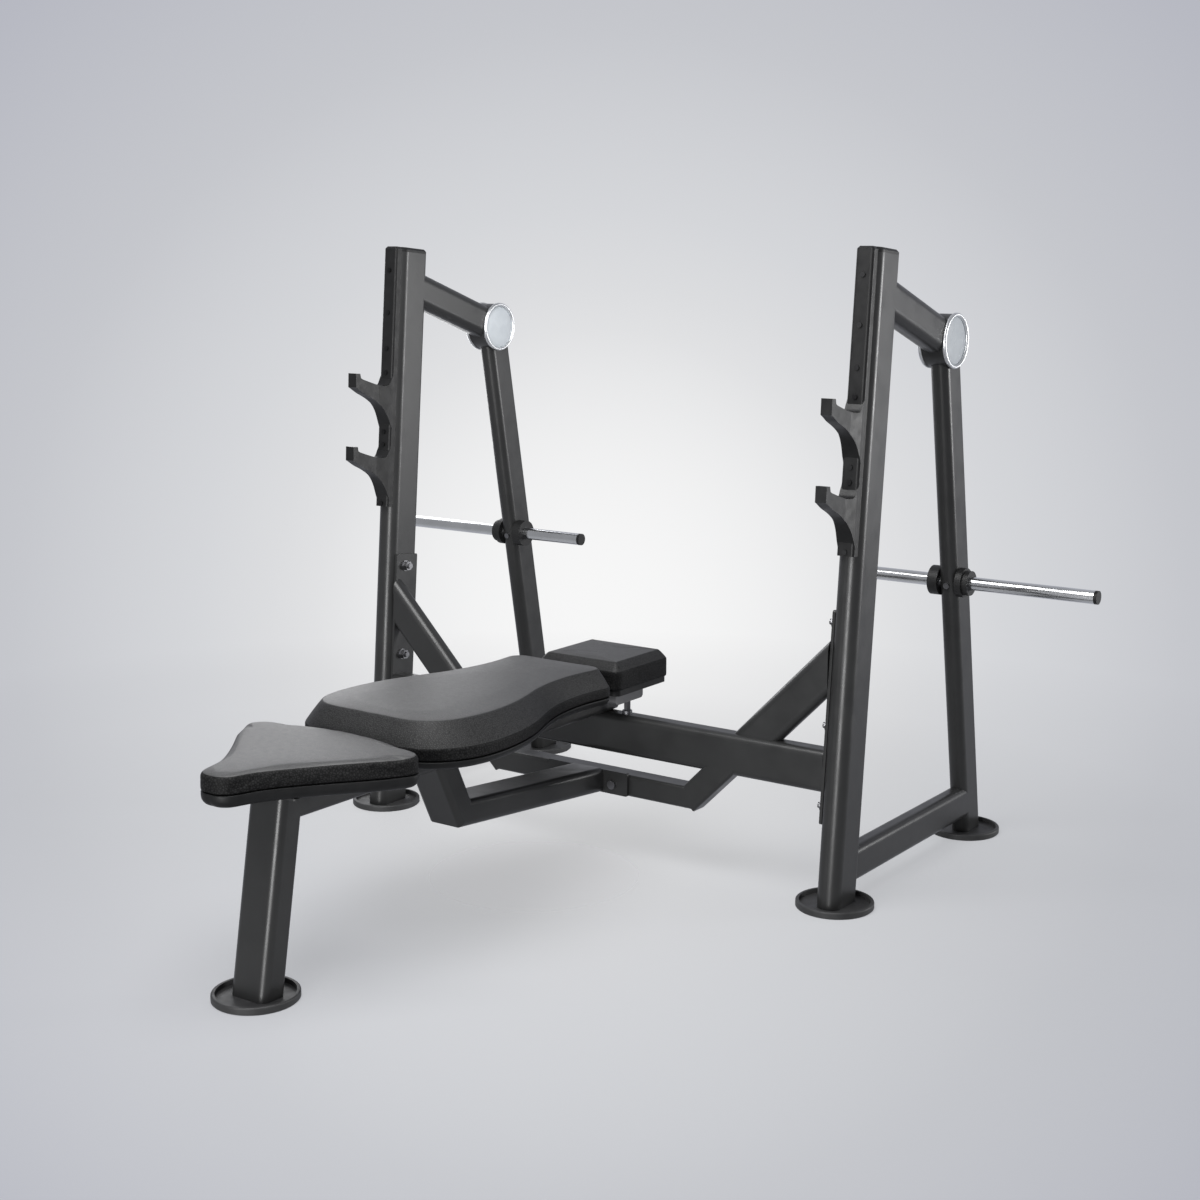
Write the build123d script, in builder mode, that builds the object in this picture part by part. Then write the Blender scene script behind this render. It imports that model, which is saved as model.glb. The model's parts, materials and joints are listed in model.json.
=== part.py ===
from build123d import *
import math
import os

# Barbell bench: X across the bench, Y from the seat end to the rack end, Z up, floor at Z = 0.
# The origin is on the floor, under the middle of the whole bench, on its plane of symmetry.

# Rack
RACK_HALF = 590.0            # each side frame stands this far from the plane of symmetry
TUBE_WIDE = 50.0             # main tube, narrow side
TUBE_DEEP = 85.0             # main tube, deep side
TUBE_ROUND = 14.0            # corner radius of the main tube
ARM_ROUND = 20.0
FRONT_ROUND = 22.0           # the uprights have a well-rounded front and a squarer rear
REAR_ROUND = 7.0
FRONT_LEG_ROUND = 16.0
WALL = 3.0
UPRIGHT_BASE_Y = 198.0       # axis of the upright at the floor
UPRIGHT_SLOPE = 0.0857       # the upright leans back by this much per unit of height
UPRIGHT_TOP = 1262.0
CAP_HEIGHT = 10.0

HUB_Y = 601.0
HUB_Z = 1083.6
HUB_RADIUS = 57.5
HUB_HALF = 31.5              # from the middle of the frame to the face of the hub
ARM_START_Z = 1187.0         # axis of the top arm where it meets the axis of the upright
ARM_DEEP = 75.0

LEG_WIDE = 40.0              # tube of the rear legs and the side braces
LEG_DEEP = 70.0
LEG_ROUND = 14.0
LEG_FRONT_ROUND = 18.0
LEG_BASE_Y = 797.0
LEG_SLOPE = -0.180
SIDE_BRACE_Z = 73.5

# Feet
FOOT_RADIUS = 77.0
FOOT_HEIGHT = 14.0
FOOT_FLOOR = 5.0
FRONT_FOOT_Y = -780.0
REAR_FOOT_Y = 790.0

# Bar hooks
STRIP_BOTTOM = 690.0
STRIP_WIDE = 37.0
STRIP_THICK = 11.0
HOOK_ROOT_HALF = 18.5        # the hooks narrow from the strip to their tips
HOOK_TIP_HALF = 11.5
SADDLE_Z = 967.4             # height on the upright's axis, level with the upper saddle
HOOK_STEP = 160.0            # height from one saddle to the next
HOOK_SCREWS = (22.0, -110.0)  # above and below each saddle
STRIP_SCREWS = (1043.0, 1122.0, 1215.0)

# Storage horns
HORN_Y = 680.0
HORN_Z = 577.0
HORN_RADIUS = 14.0
HORN_SCREW = 6.5             # length of the set screw inside the leg
HORN_INNER = 378.0
HORN_OUTER = 912.0
COLLAR_RADIUS = 31.0

# Cross beam and the bracket under it
BEAM_Y = 218.0
BEAM_Z = 267.0
BRACKET_Z = 160.0
BRACKET_HALF = 249.0
BRACKET_HIGH = 46.0
BRACKET_LEG = 54.0
BRACKET_DEEP = 50.0
JOINT_PLATE = 6.0            # plate on the inner face of each upright
PLATE_BOTTOM = 162.0
PLATE_TOP = 583.0
PLATE_WIDE = 69.0
PLATE_BOLTS = (194.0, 353.0, 556.0)
DIAGONAL_DEEP = 76.0
DIAGONAL_WIDE = 36.0
DIAGONAL_X = 357.0           # where the brace's axis meets the axis of the cross beam
DIAGONAL_Y = 222.0
DIAGONAL_ANGLE = 45.5

# Bench frame
BENCH_WIDE = 85.0             # upper beam, drop tube and lower beam
UPPER_BEAM_HIGH = 48.0       # this beam lies on top of the cross beam
UPPER_BEAM_END = 239.0
LOWER_BEAM_HIGH = 52.0
DROP_DEEP = 52.0
BENCH_PLATE = 8.0            # plate that joins the lower beam to the bracket
BENCH_BOLT = 65.0            # its bolts stand this far from the plane of symmetry
FRONT_LEG_SLOPE = 0.178
DROP_Y = -260.5
DROP_Z = 204.5
DROP_SLOPE = -0.475
LOWER_SLOPE = -0.0885

# Pads
MOUNT_PLATE = 4.0            # flat plates between the beam and the pads
SEAT_TOP = 418.0
SEAT_WALL = 380.0
BACK_TOP = 441.0
BACK_BEVEL = 416.0
BACK_WALL = 378.0
HEAD_TOP = 430.0
HEAD_BEVEL = 412.0
HEAD_WALL = 372.0
HEAD_BASE = 360.0
HEAD_HALF = 105.0
HEAD_FRONT = 148.0
HEAD_REAR = 340.0
HEAD_BAR_START = 157.0
HEAD_BAR_END = 255.0
PAD_PLATES = (-715.0, -595.0, -425.0, -235.0, 25.0)

# Right half of each pad's outline, from the front to the rear
SEAT_OUTLINE = (
    (0, -867), (22, -864), (36, -852), (44, -831), (58, -795), (88, -748), (130, -694), (168, -647),
    (193, -607), (201, -583), (190, -564), (152, -551), (108, -540), (54, -530), (0, -527),
)
BACK_OUTLINE = (
    (0, -515), (70, -513), (135, -500), (180, -462), (203, -407), (207, -350), (199, -283), (178, -210),
    (150, -142), (131, -75), (124, -5), (128, 55), (127, 89), (112, 103), (60, 105), (0, 105),
)
BACK_TOP_OUTLINE = (
    (0, -484), (62, -483), (112, -477), (146, -450), (164, -400), (168, -347), (162, -281), (144, -209),
    (122, -145), (108, -78), (103, -10), (108, 49), (107, 75), (96, 85), (52, 87), (0, 87),
)

BEAM_TOP = BEAM_Z + TUBE_DEEP / 2
BEAM_HALF = RACK_HALF - TUBE_WIDE / 2 - JOINT_PLATE
UPPER_TOP = BEAM_TOP + UPPER_BEAM_HIGH
PAD_BASE = UPPER_TOP + MOUNT_PLATE
PAD_SCREWS = [(side * 65, y) for side in (-1, 1) for y in PAD_PLATES]
SIDES = ((-1, "left"), (1, "right"))
UPRIGHT_AXIS = Vector(0, UPRIGHT_SLOPE, 1)
ARM_START_Y = UPRIGHT_BASE_Y + UPRIGHT_SLOPE * ARM_START_Z
ARM_AXIS = Vector(0, HUB_Y - ARM_START_Y, HUB_Z - ARM_START_Z)
LEG_AXIS = Vector(0, LEG_SLOPE, 1)
FORWARD = Vector(0, -1, UPRIGHT_SLOPE)
CATCH_SCREWS = STRIP_SCREWS + tuple(
    SADDLE_Z - step * HOOK_STEP + height for step in (0, 1) for height in HOOK_SCREWS
)

os.makedirs("parts", exist_ok=True)


def save(piece, name):
    piece.part.label = name
    export_step(piece.part, f"parts/{name}.step")


def upright_y(z):
    """Y of the upright's axis at height z."""
    return UPRIGHT_BASE_Y + UPRIGHT_SLOPE * z


def upright_face(x, z):
    """Plane on a side face of an upright: local X across the tube, local Y up the tube, facing +X."""
    return Plane(origin=(x, upright_y(z), z), x_dir=(0, 1, -UPRIGHT_SLOPE), z_dir=(1, 0, 0))


def front_point(x, z, out):
    """Point at a distance out from the front face of the upright, level with height z on its axis."""
    return Vector(x, upright_y(z), z) + FORWARD.normalized() * (TUBE_DEEP / 2 + out)


def cross_section(origin, direction):
    """Plane square to a tube that lies in a side frame: local X is across the bench."""
    return Plane(origin=origin, x_dir=(1, 0, 0), z_dir=direction)


def tube_section(wide, deep, front_round, inset=0.0, mode=Mode.ADD):
    """Section of a tube whose front corners are rounder than its rear ones; inset gives its bore."""
    for end, radius in ((-1, front_round), (1, REAR_ROUND)):
        with Locations((0, end * deep / 8)):
            RectangleRounded(wide - 2 * inset, deep * 3 / 4 - 2 * inset, radius - inset, mode=mode)


def upright_section(inset=0.0, mode=Mode.ADD):
    tube_section(TUBE_WIDE, TUBE_DEEP, FRONT_ROUND, inset, mode)


def upright_solid(x):
    with BuildPart() as solid:
        with BuildSketch(cross_section((x, UPRIGHT_BASE_Y, 0), UPRIGHT_AXIS)):
            upright_section()
        extrude(amount=UPRIGHT_TOP)
        split(bisect_by=Plane.XY.offset(FOOT_FLOOR), keep=Keep.TOP)
    return solid.part


def hook(x, z):
    """Bar hook: its profile runs out from the upright, and it narrows towards its tip."""
    front = front_point(x, z, 0)
    with BuildPart() as solid:
        with BuildSketch(Plane(origin=front, x_dir=FORWARD, z_dir=(-1, 0, 0))):
            with BuildLine():
                saddle = Spline(
                    (6, 22), (12, 6), (19, -5), (32, -8), (56, -5), (77, -0.5), (92, 3), (104, 7),
                    tangents=((0.1, -1), (1, 0.5)),
                )
                tip = Polyline(saddle @ 1, (107, 16.5), (120, 16.5), (119, -14))
                belly = Spline(
                    (119, -14), (97, -24.5), (77, -32), (57, -40.5), (39, -52), (25, -67), (15, -84), (6, -104),
                    tangents=((-1, -0.35), (-0.35, -1)),
                )
                Line(belly @ 1, saddle @ 0)
            make_face()
        extrude(amount=HOOK_ROOT_HALF, both=True)
        with BuildSketch(Plane(origin=front - UPRIGHT_AXIS * 150, x_dir=FORWARD, z_dir=UPRIGHT_AXIS)):
            with BuildLine():
                Polyline(
                    (0, HOOK_ROOT_HALF), (STRIP_THICK + 1, HOOK_ROOT_HALF), (45, HOOK_TIP_HALF + 1),
                    (125, HOOK_TIP_HALF), (125, -HOOK_TIP_HALF), (45, -HOOK_TIP_HALF - 1),
                    (STRIP_THICK + 1, -HOOK_ROOT_HALF), (0, -HOOK_ROOT_HALF), close=True,
                )
            make_face()
        extrude(amount=300, mode=Mode.INTERSECT)
    return solid.part


def hub_solid(x, radius, half):
    with BuildPart() as solid:
        with BuildSketch(Plane.YZ.offset(x)):
            with Locations((HUB_Y, HUB_Z)):
                Circle(radius)
        extrude(amount=half, both=True)
    return solid.part


def leg_solid(x):
    with BuildPart() as solid:
        with BuildSketch(cross_section((x, LEG_BASE_Y, 0), LEG_AXIS)):
            tube_section(LEG_WIDE, LEG_DEEP, LEG_FRONT_ROUND)
        extrude(amount=HUB_Z)
        split(bisect_by=Plane.XY.offset(FOOT_FLOOR), keep=Keep.TOP)
    return solid.part


def along_x(y, z, radius, start, end):
    """Round bar along X."""
    with BuildPart() as bar:
        with BuildSketch(Plane.YZ.offset(start)):
            with Locations((y, z)):
                Circle(radius)
        extrude(amount=end - start)
    return bar.part


def beam_solid():
    with BuildPart() as solid:
        with BuildSketch(Plane.YZ.offset(-BEAM_HALF)):
            with Locations((BEAM_Y, BEAM_Z)):
                RectangleRounded(TUBE_WIDE, TUBE_DEEP, TUBE_ROUND)
        extrude(amount=2 * BEAM_HALF)
    return solid.part


def bracket_mitre(side):
    """Mitre plane between the bar and a leg of the bracket, facing the leg."""
    angle = math.radians(22.5)
    normal = (side * math.cos(angle), 0, math.sin(angle))
    return Plane(origin=(side * BRACKET_HALF, BEAM_Y, BRACKET_Z), x_dir=(0, 1, 0), z_dir=normal)


def horn_screw_plane(x):
    """Plane on the front face of a rear leg at the height of its horn, facing forward."""
    forward = Vector(0, -1, LEG_SLOPE).normalized()
    front = Vector(x, LEG_BASE_Y + LEG_SLOPE * HORN_Z, HORN_Z) + forward * LEG_DEEP / 2
    return Plane(origin=front, x_dir=(1, 0, 0), z_dir=forward)


def pad_outline(right_half):
    """Face inside a smooth closed curve through the given points and their mirror images."""
    left_half = [(-x, y) for x, y in reversed(right_half[1:-1])]
    with BuildSketch() as outline:
        with BuildLine():
            Spline(*right_half, *left_half, periodic=True)
        make_face()
    return outline.sketch


def pad_slab(right_half, bottom, top):
    """Straight-sided solid in a pad's outline."""
    with BuildPart() as slab:
        with BuildSketch(Plane.XY.offset(bottom)):
            add(pad_outline(right_half))
        extrude(amount=top - bottom)
    return slab.part


def foot(x, y):
    with BuildPart() as dish:
        with BuildSketch():
            with Locations((x, y)):
                Circle(FOOT_RADIUS)
        extrude(amount=FOOT_HEIGHT)
        fillet(dish.edges().sort_by(Axis.Z)[-1], 3)
        chamfer(dish.edges().sort_by(Axis.Z)[0], 2)
        with BuildSketch(Plane.XY.offset(FOOT_FLOOR)):
            with Locations((x, y)):
                Circle(FOOT_RADIUS - 7)
        extrude(amount=FOOT_HEIGHT, mode=Mode.SUBTRACT)
    return dish


# Side frames
for side, tag in SIDES:
    x = side * RACK_HALF
    inner_face = side * (RACK_HALF - TUBE_WIDE / 2)
    leg_face = side * (RACK_HALF - LEG_WIDE / 2)
    outer_leg_face = side * (RACK_HALF + LEG_WIDE / 2)
    drum = hub_solid(x, HUB_RADIUS - 3.5, TUBE_WIDE / 2)
    upright_outside = upright_solid(x)
    leg_outside = leg_solid(x)

    # Leaning tube with three bolt holes in its inner wall
    with BuildPart() as upright:
        add(upright_outside)
        with BuildSketch(cross_section((x, UPRIGHT_BASE_Y, 0), UPRIGHT_AXIS)):
            upright_section(WALL)
        extrude(amount=UPRIGHT_TOP + 10, mode=Mode.SUBTRACT)
        for height in PLATE_BOLTS:
            with BuildSketch(upright_face(inner_face, height)):
                Circle(6)
            extrude(amount=side * 8, mode=Mode.SUBTRACT)
        for height in CATCH_SCREWS:
            with BuildSketch(Plane(origin=front_point(x, height, 0), x_dir=(1, 0, 0), z_dir=-FORWARD)):
                Circle(2.5)
            extrude(amount=8, mode=Mode.SUBTRACT)
    save(upright, f"{tag}_upright")

    # Chamfered plug in the top of the upright
    top = Vector(x, UPRIGHT_BASE_Y, 0) + UPRIGHT_AXIS.normalized() * UPRIGHT_TOP
    with BuildPart() as strip_top:
        with BuildSketch(cross_section(top, UPRIGHT_AXIS)):
            with Locations((0, -(TUBE_DEEP + STRIP_THICK) / 2 + 6)):
                RectangleRounded(STRIP_WIDE, STRIP_THICK + 12, 6)
        extrude(amount=CAP_HEIGHT)
        chamfer(strip_top.faces().sort_by(Axis.Z)[-1].edges(), 5)
    with BuildPart() as top_cap:
        with BuildSketch(cross_section(top, UPRIGHT_AXIS)):
            upright_section()
        extrude(amount=CAP_HEIGHT)
        chamfer(top_cap.faces().sort_by(Axis.Z)[-1].edges(), 5)
        add(strip_top.part)
        with BuildSketch(cross_section(top, UPRIGHT_AXIS)):
            upright_section(WALL)
        extrude(amount=-16)
    save(top_cap, f"{tag}_top_cap")

    # Moulded strip on the front of the upright, with two bar hooks
    strip_base = Vector(x, upright_y(STRIP_BOTTOM), STRIP_BOTTOM)
    with BuildPart() as catch:
        with BuildSketch(cross_section(strip_base, UPRIGHT_AXIS)):
            with Locations((0, -(TUBE_DEEP + STRIP_THICK) / 2 + 6)):
                RectangleRounded(STRIP_WIDE, STRIP_THICK + 12, 6)
            upright_section(mode=Mode.SUBTRACT)
        extrude(amount=(top - strip_base).length)
        for step in (0, 1):
            add(hook(x, SADDLE_Z - step * HOOK_STEP))
        for height in CATCH_SCREWS:
            with BuildSketch(Plane(origin=front_point(x, height, STRIP_THICK), x_dir=(1, 0, 0), z_dir=-FORWARD)):
                Circle(2.5)
            extrude(amount=STRIP_THICK + 1, mode=Mode.SUBTRACT)
    save(catch, f"{tag}_bar_catch")

    # Hub at the top of the rear leg: drum, bright rings and pale discs
    with BuildPart() as hub_drum:
        add(drum)
        with BuildSketch(Plane.YZ.offset(x)):
            with Locations((HUB_Y, HUB_Z)):
                Circle(HUB_RADIUS - 3.5 - 6)
        extrude(amount=TUBE_WIDE / 2, both=True, mode=Mode.SUBTRACT)
    save(hub_drum, f"{tag}_hub_drum")

    with BuildPart() as hub_rings:
        for face in (-1, 1):
            with BuildSketch(Plane.YZ.offset(x + face * TUBE_WIDE / 2)):
                with Locations((HUB_Y, HUB_Z)):
                    Circle(HUB_RADIUS)
                    Circle(HUB_RADIUS - 9, mode=Mode.SUBTRACT)
            extrude(amount=face * (HUB_HALF - TUBE_WIDE / 2))
    save(hub_rings, f"{tag}_hub_rings")

    with BuildPart() as hub_discs:
        for face in (-1, 1):
            with BuildSketch(Plane.YZ.offset(x + face * (TUBE_WIDE / 2 - 3))):
                with Locations((HUB_Y, HUB_Z)):
                    Circle(HUB_RADIUS - 9.5)
            extrude(amount=face * 7.5)
    save(hub_discs, f"{tag}_hub_discs")

    # Sloping arm from the upright to the hub
    with BuildPart() as top_arm:
        with BuildSketch(cross_section((x, ARM_START_Y, ARM_START_Z), ARM_AXIS)):
            RectangleRounded(TUBE_WIDE, ARM_DEEP, ARM_ROUND)
            RectangleRounded(TUBE_WIDE - 2 * WALL, ARM_DEEP - 2 * WALL, ARM_ROUND - WALL, mode=Mode.SUBTRACT)
        extrude(amount=ARM_AXIS.length)
        add(upright_outside, mode=Mode.SUBTRACT)
        add(leg_outside, mode=Mode.SUBTRACT)
        add(drum, mode=Mode.SUBTRACT)
    save(top_arm, f"{tag}_top_arm")

    # Rear leg, bored for the storage horn
    with BuildPart() as rear_leg:
        add(leg_outside)
        with BuildSketch(cross_section((x, LEG_BASE_Y, 0), LEG_AXIS)):
            tube_section(LEG_WIDE, LEG_DEEP, LEG_FRONT_ROUND, WALL)
        extrude(amount=HUB_Z, mode=Mode.SUBTRACT)
        add(drum, mode=Mode.SUBTRACT)
        add(along_x(HORN_Y, HORN_Z, HORN_RADIUS, x - 30, x + 30), mode=Mode.SUBTRACT)
        with BuildSketch(horn_screw_plane(x)):
            Circle(4)
        extrude(amount=-8, mode=Mode.SUBTRACT)
    save(rear_leg, f"{tag}_rear_leg")

    # Low brace between the upright and the rear leg
    with BuildPart() as side_brace:
        with BuildSketch(cross_section((x, UPRIGHT_BASE_Y, SIDE_BRACE_Z), (0, 1, 0))):
            RectangleRounded(LEG_WIDE, LEG_DEEP, LEG_ROUND)
            RectangleRounded(LEG_WIDE - 2 * WALL, LEG_DEEP - 2 * WALL, LEG_ROUND - WALL, mode=Mode.SUBTRACT)
        extrude(amount=LEG_BASE_Y - UPRIGHT_BASE_Y)
        add(upright_outside, mode=Mode.SUBTRACT)
        add(leg_outside, mode=Mode.SUBTRACT)
    save(side_brace, f"{tag}_side_brace")

    # Plate on the inner face of the upright, with studs, washers and nuts
    middle = (PLATE_BOTTOM + PLATE_TOP) / 2
    with BuildPart() as joint_plate:
        with BuildSketch(upright_face(inner_face, middle)):
            with Locations(((TUBE_DEEP - PLATE_WIDE) / 2 - 2, 0)):
                RectangleRounded(PLATE_WIDE, PLATE_TOP - PLATE_BOTTOM, 5)
        extrude(amount=-side * JOINT_PLATE)
        for height in PLATE_BOLTS:
            with BuildSketch(upright_face(inner_face, height)):
                Circle(6)
            extrude(amount=-side * JOINT_PLATE, mode=Mode.SUBTRACT)
    save(joint_plate, f"{tag}_joint_plate")

    # Storage horn through the rear leg
    with BuildPart() as horn:
        add(along_x(HORN_Y, HORN_Z, HORN_RADIUS, side * (HORN_INNER + 7), side * (HORN_OUTER - 7)))
    save(horn, f"{tag}_storage_horn")

    # Diagonal brace of flat tube from the cross beam up to the joint plate
    lean = math.radians(DIAGONAL_ANGLE)
    with BuildPart() as diagonal:
        foot_point = (side * DIAGONAL_X, DIAGONAL_Y, BEAM_Z)
        direction = (side * math.cos(lean), 0, math.sin(lean))
        with BuildSketch(Plane(origin=foot_point, x_dir=(0, 1, 0), z_dir=direction)):
            RectangleRounded(DIAGONAL_WIDE, DIAGONAL_DEEP, 16)
            RectangleRounded(DIAGONAL_WIDE - 2 * WALL, DIAGONAL_DEEP - 2 * WALL, 16 - WALL, mode=Mode.SUBTRACT)
        extrude(amount=360)
        split(bisect_by=Plane.YZ.offset(side * BEAM_HALF), keep=Keep.BOTTOM if side > 0 else Keep.TOP)
        add(beam_solid(), mode=Mode.SUBTRACT)
    save(diagonal, f"{tag}_diagonal_brace")

    # Round feet with a raised rim
    save(foot(x, upright_y(0) + 1), f"{tag}_upright_foot")
    save(foot(x, REAR_FOOT_Y), f"{tag}_rear_foot")
save(foot(0, FRONT_FOOT_Y), "front_foot")

# Fasteners of the two joint plates
with BuildPart() as plate_studs:
    for side, tag in SIDES:
        for height in PLATE_BOLTS:
            with BuildSketch(upright_face(side * (RACK_HALF - TUBE_WIDE / 2 + WALL), height)):
                Circle(6)
            extrude(amount=-side * (WALL + JOINT_PLATE + 18))
save(plate_studs, "plate_studs")

with BuildPart() as plate_washers:
    for side, tag in SIDES:
        for height in PLATE_BOLTS:
            with BuildSketch(upright_face(side * (RACK_HALF - TUBE_WIDE / 2 - JOINT_PLATE), height)):
                Circle(12)
                Circle(6, mode=Mode.SUBTRACT)
            extrude(amount=-side * 2.5)
save(plate_washers, "plate_washers")

with BuildPart() as plate_nuts:
    for side, tag in SIDES:
        for height in PLATE_BOLTS:
            with BuildSketch(upright_face(side * (RACK_HALF - TUBE_WIDE / 2 - JOINT_PLATE - 2.5), height)):
                RegularPolygon(9.5, 6, major_radius=False)
                Circle(6, mode=Mode.SUBTRACT)
            extrude(amount=-side * 10)
save(plate_nuts, "plate_nuts")

# Button screws of the two guard strips
with BuildPart() as catch_screws:
    for side, tag in SIDES:
        for height in CATCH_SCREWS:
            head = front_point(side * RACK_HALF, height, STRIP_THICK)
            with BuildSketch(Plane(origin=head, x_dir=(1, 0, 0), z_dir=FORWARD)):
                Circle(5)
            extrude(amount=3)
            with BuildSketch(Plane(origin=head, x_dir=(1, 0, 0), z_dir=-FORWARD)):
                Circle(2.5)
            extrude(amount=STRIP_THICK + WALL)
save(catch_screws, "catch_screws")

# Horn fittings: one collar inside the leg, a stepped pair outside, a cap on each end, a set screw
with BuildPart() as horn_collars:
    for side, tag in SIDES:
        inside = side * (RACK_HALF - LEG_WIDE / 2)
        outside = side * (RACK_HALF + LEG_WIDE / 2)
        add(along_x(HORN_Y, HORN_Z, COLLAR_RADIUS, inside, inside - side * 22))
        add(along_x(HORN_Y, HORN_Z, COLLAR_RADIUS, outside, outside + side * 14))
        add(along_x(HORN_Y, HORN_Z, COLLAR_RADIUS - 5, outside + side * 14, outside + side * 26))
    for side, tag in SIDES:
        add(along_x(HORN_Y, HORN_Z, HORN_RADIUS, side * HORN_INNER, side * HORN_OUTER), mode=Mode.SUBTRACT)
save(horn_collars, "horn_collars")

with BuildPart() as horn_caps:
    for side, tag in SIDES:
        for end, inward in ((HORN_INNER, 1), (HORN_OUTER, -1)):
            add(along_x(HORN_Y, HORN_Z, HORN_RADIUS, side * end, side * (end + inward * 7)))
save(horn_caps, "horn_end_caps")

with BuildPart() as horn_screws:
    for side, tag in SIDES:
        with BuildSketch(horn_screw_plane(side * RACK_HALF)):
            Circle(6.5)
        extrude(amount=4)
        with BuildSketch(horn_screw_plane(side * RACK_HALF)):
            Circle(4)
        extrude(amount=-HORN_SCREW)
save(horn_screws, "horn_set_screws")

# Cross beam between the joint plates
with BuildPart() as cross_beam:
    add(beam_solid())
    with BuildSketch(Plane.YZ.offset(-BEAM_HALF)):
        with Locations((BEAM_Y, BEAM_Z)):
            RectangleRounded(TUBE_WIDE - 2 * WALL, TUBE_DEEP - 2 * WALL, TUBE_ROUND - WALL)
    extrude(amount=2 * BEAM_HALF, mode=Mode.SUBTRACT)
save(cross_beam, "cross_beam")

# Bracket under the cross beam: a short bar on two legs that slope up and outward
with BuildPart() as bracket_bar:
    with BuildSketch(Plane.YZ.offset(-BRACKET_HALF - 60)):
        with Locations((BEAM_Y, BRACKET_Z)):
            RectangleRounded(BRACKET_DEEP, BRACKET_HIGH, 8)
            RectangleRounded(BRACKET_DEEP - 2 * WALL, BRACKET_HIGH - 2 * WALL, 8 - WALL, mode=Mode.SUBTRACT)
    extrude(amount=2 * BRACKET_HALF + 120)
    for side, tag in SIDES:
        split(bisect_by=bracket_mitre(side), keep=Keep.BOTTOM)
    for hole in (-1, 1):
        with BuildSketch(Plane(origin=(hole * BENCH_BOLT, BEAM_Y - BRACKET_DEEP / 2, BRACKET_Z), z_dir=(0, 1, 0))):
            Circle(5)
        extrude(amount=WALL, mode=Mode.SUBTRACT)
save(bracket_bar, "bracket_bar")

for side, tag in SIDES:
    with BuildPart() as bracket_leg:
        corner = Vector(side * BRACKET_HALF, BEAM_Y, BRACKET_Z)
        rise = Vector(side, 0, 1).normalized()
        with BuildSketch(Plane(origin=corner - rise * 60, x_dir=(0, 1, 0), z_dir=rise)):
            RectangleRounded(BRACKET_DEEP, BRACKET_LEG, 8)
            RectangleRounded(BRACKET_DEEP - 2 * WALL, BRACKET_LEG - 2 * WALL, 8 - WALL, mode=Mode.SUBTRACT)
        extrude(amount=220)
        split(bisect_by=bracket_mitre(side), keep=Keep.TOP)
        add(beam_solid(), mode=Mode.SUBTRACT)
        split(bisect_by=Plane.XY.offset(BEAM_Z), keep=Keep.BOTTOM)
    save(bracket_leg, f"{tag}_bracket_leg")

# Plate and bolts that join the lower beam of the bench to the bracket
plate_back = BEAM_Y - BRACKET_DEEP / 2
with BuildPart() as bench_plate:
    with BuildSketch(Plane(origin=(0, plate_back, BRACKET_Z + 4), x_dir=(1, 0, 0), z_dir=(0, -1, 0))):
        RectangleRounded(206, 50, 4)
    extrude(amount=BENCH_PLATE)
    for hole in (-1, 1):
        with BuildSketch(Plane(origin=(hole * BENCH_BOLT, plate_back, BRACKET_Z), z_dir=(0, -1, 0))):
            Circle(5)
        extrude(amount=BENCH_PLATE, mode=Mode.SUBTRACT)
save(bench_plate, "bench_joint_plate")

with BuildPart() as bench_bolts:
    for hole in (-1, 1):
        seat_plane = Plane(origin=(hole * BENCH_BOLT, plate_back - BENCH_PLATE, BRACKET_Z), z_dir=(0, -1, 0))
        with BuildSketch(seat_plane):
            Circle(9.5)
        extrude(amount=6)
        with BuildSketch(seat_plane):
            Circle(5)
        extrude(amount=-(BENCH_PLATE + WALL))
save(bench_bolts, "bench_joint_bolts")

# Bench frame: front leg, upper beam, drop tube, lower beam
with BuildPart() as front_leg:
    with BuildSketch(cross_section((0, FRONT_FOOT_Y, 0), (0, FRONT_LEG_SLOPE, 1))):
        tube_section(TUBE_DEEP, TUBE_WIDE, FRONT_LEG_ROUND)
        tube_section(TUBE_DEEP, TUBE_WIDE, FRONT_LEG_ROUND, WALL, Mode.SUBTRACT)
    extrude(amount=420)
    split(bisect_by=Plane.XY.offset(FOOT_FLOOR), keep=Keep.TOP)
    split(bisect_by=Plane.XY.offset(UPPER_TOP), keep=Keep.BOTTOM)
save(front_leg, "front_leg")

with BuildPart() as upper_beam:
    with BuildSketch(Plane.XZ.offset(-UPPER_BEAM_END)):
        with Locations((0, BEAM_TOP + UPPER_BEAM_HIGH / 2)):
            RectangleRounded(BENCH_WIDE, UPPER_BEAM_HIGH, 10)
            RectangleRounded(BENCH_WIDE - 2 * WALL, UPPER_BEAM_HIGH - 2 * WALL, 10 - WALL, mode=Mode.SUBTRACT)
    extrude(amount=UPPER_BEAM_END - FRONT_FOOT_Y)
    with BuildSketch(cross_section((0, FRONT_FOOT_Y, 0), (0, FRONT_LEG_SLOPE, 1))):
        tube_section(TUBE_DEEP, TUBE_WIDE, FRONT_LEG_ROUND)
    extrude(amount=460, mode=Mode.SUBTRACT)
    split(bisect_by=Plane.XZ.offset(-FRONT_FOOT_Y - 68), keep=Keep.BOTTOM)
save(upper_beam, "upper_beam")

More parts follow.
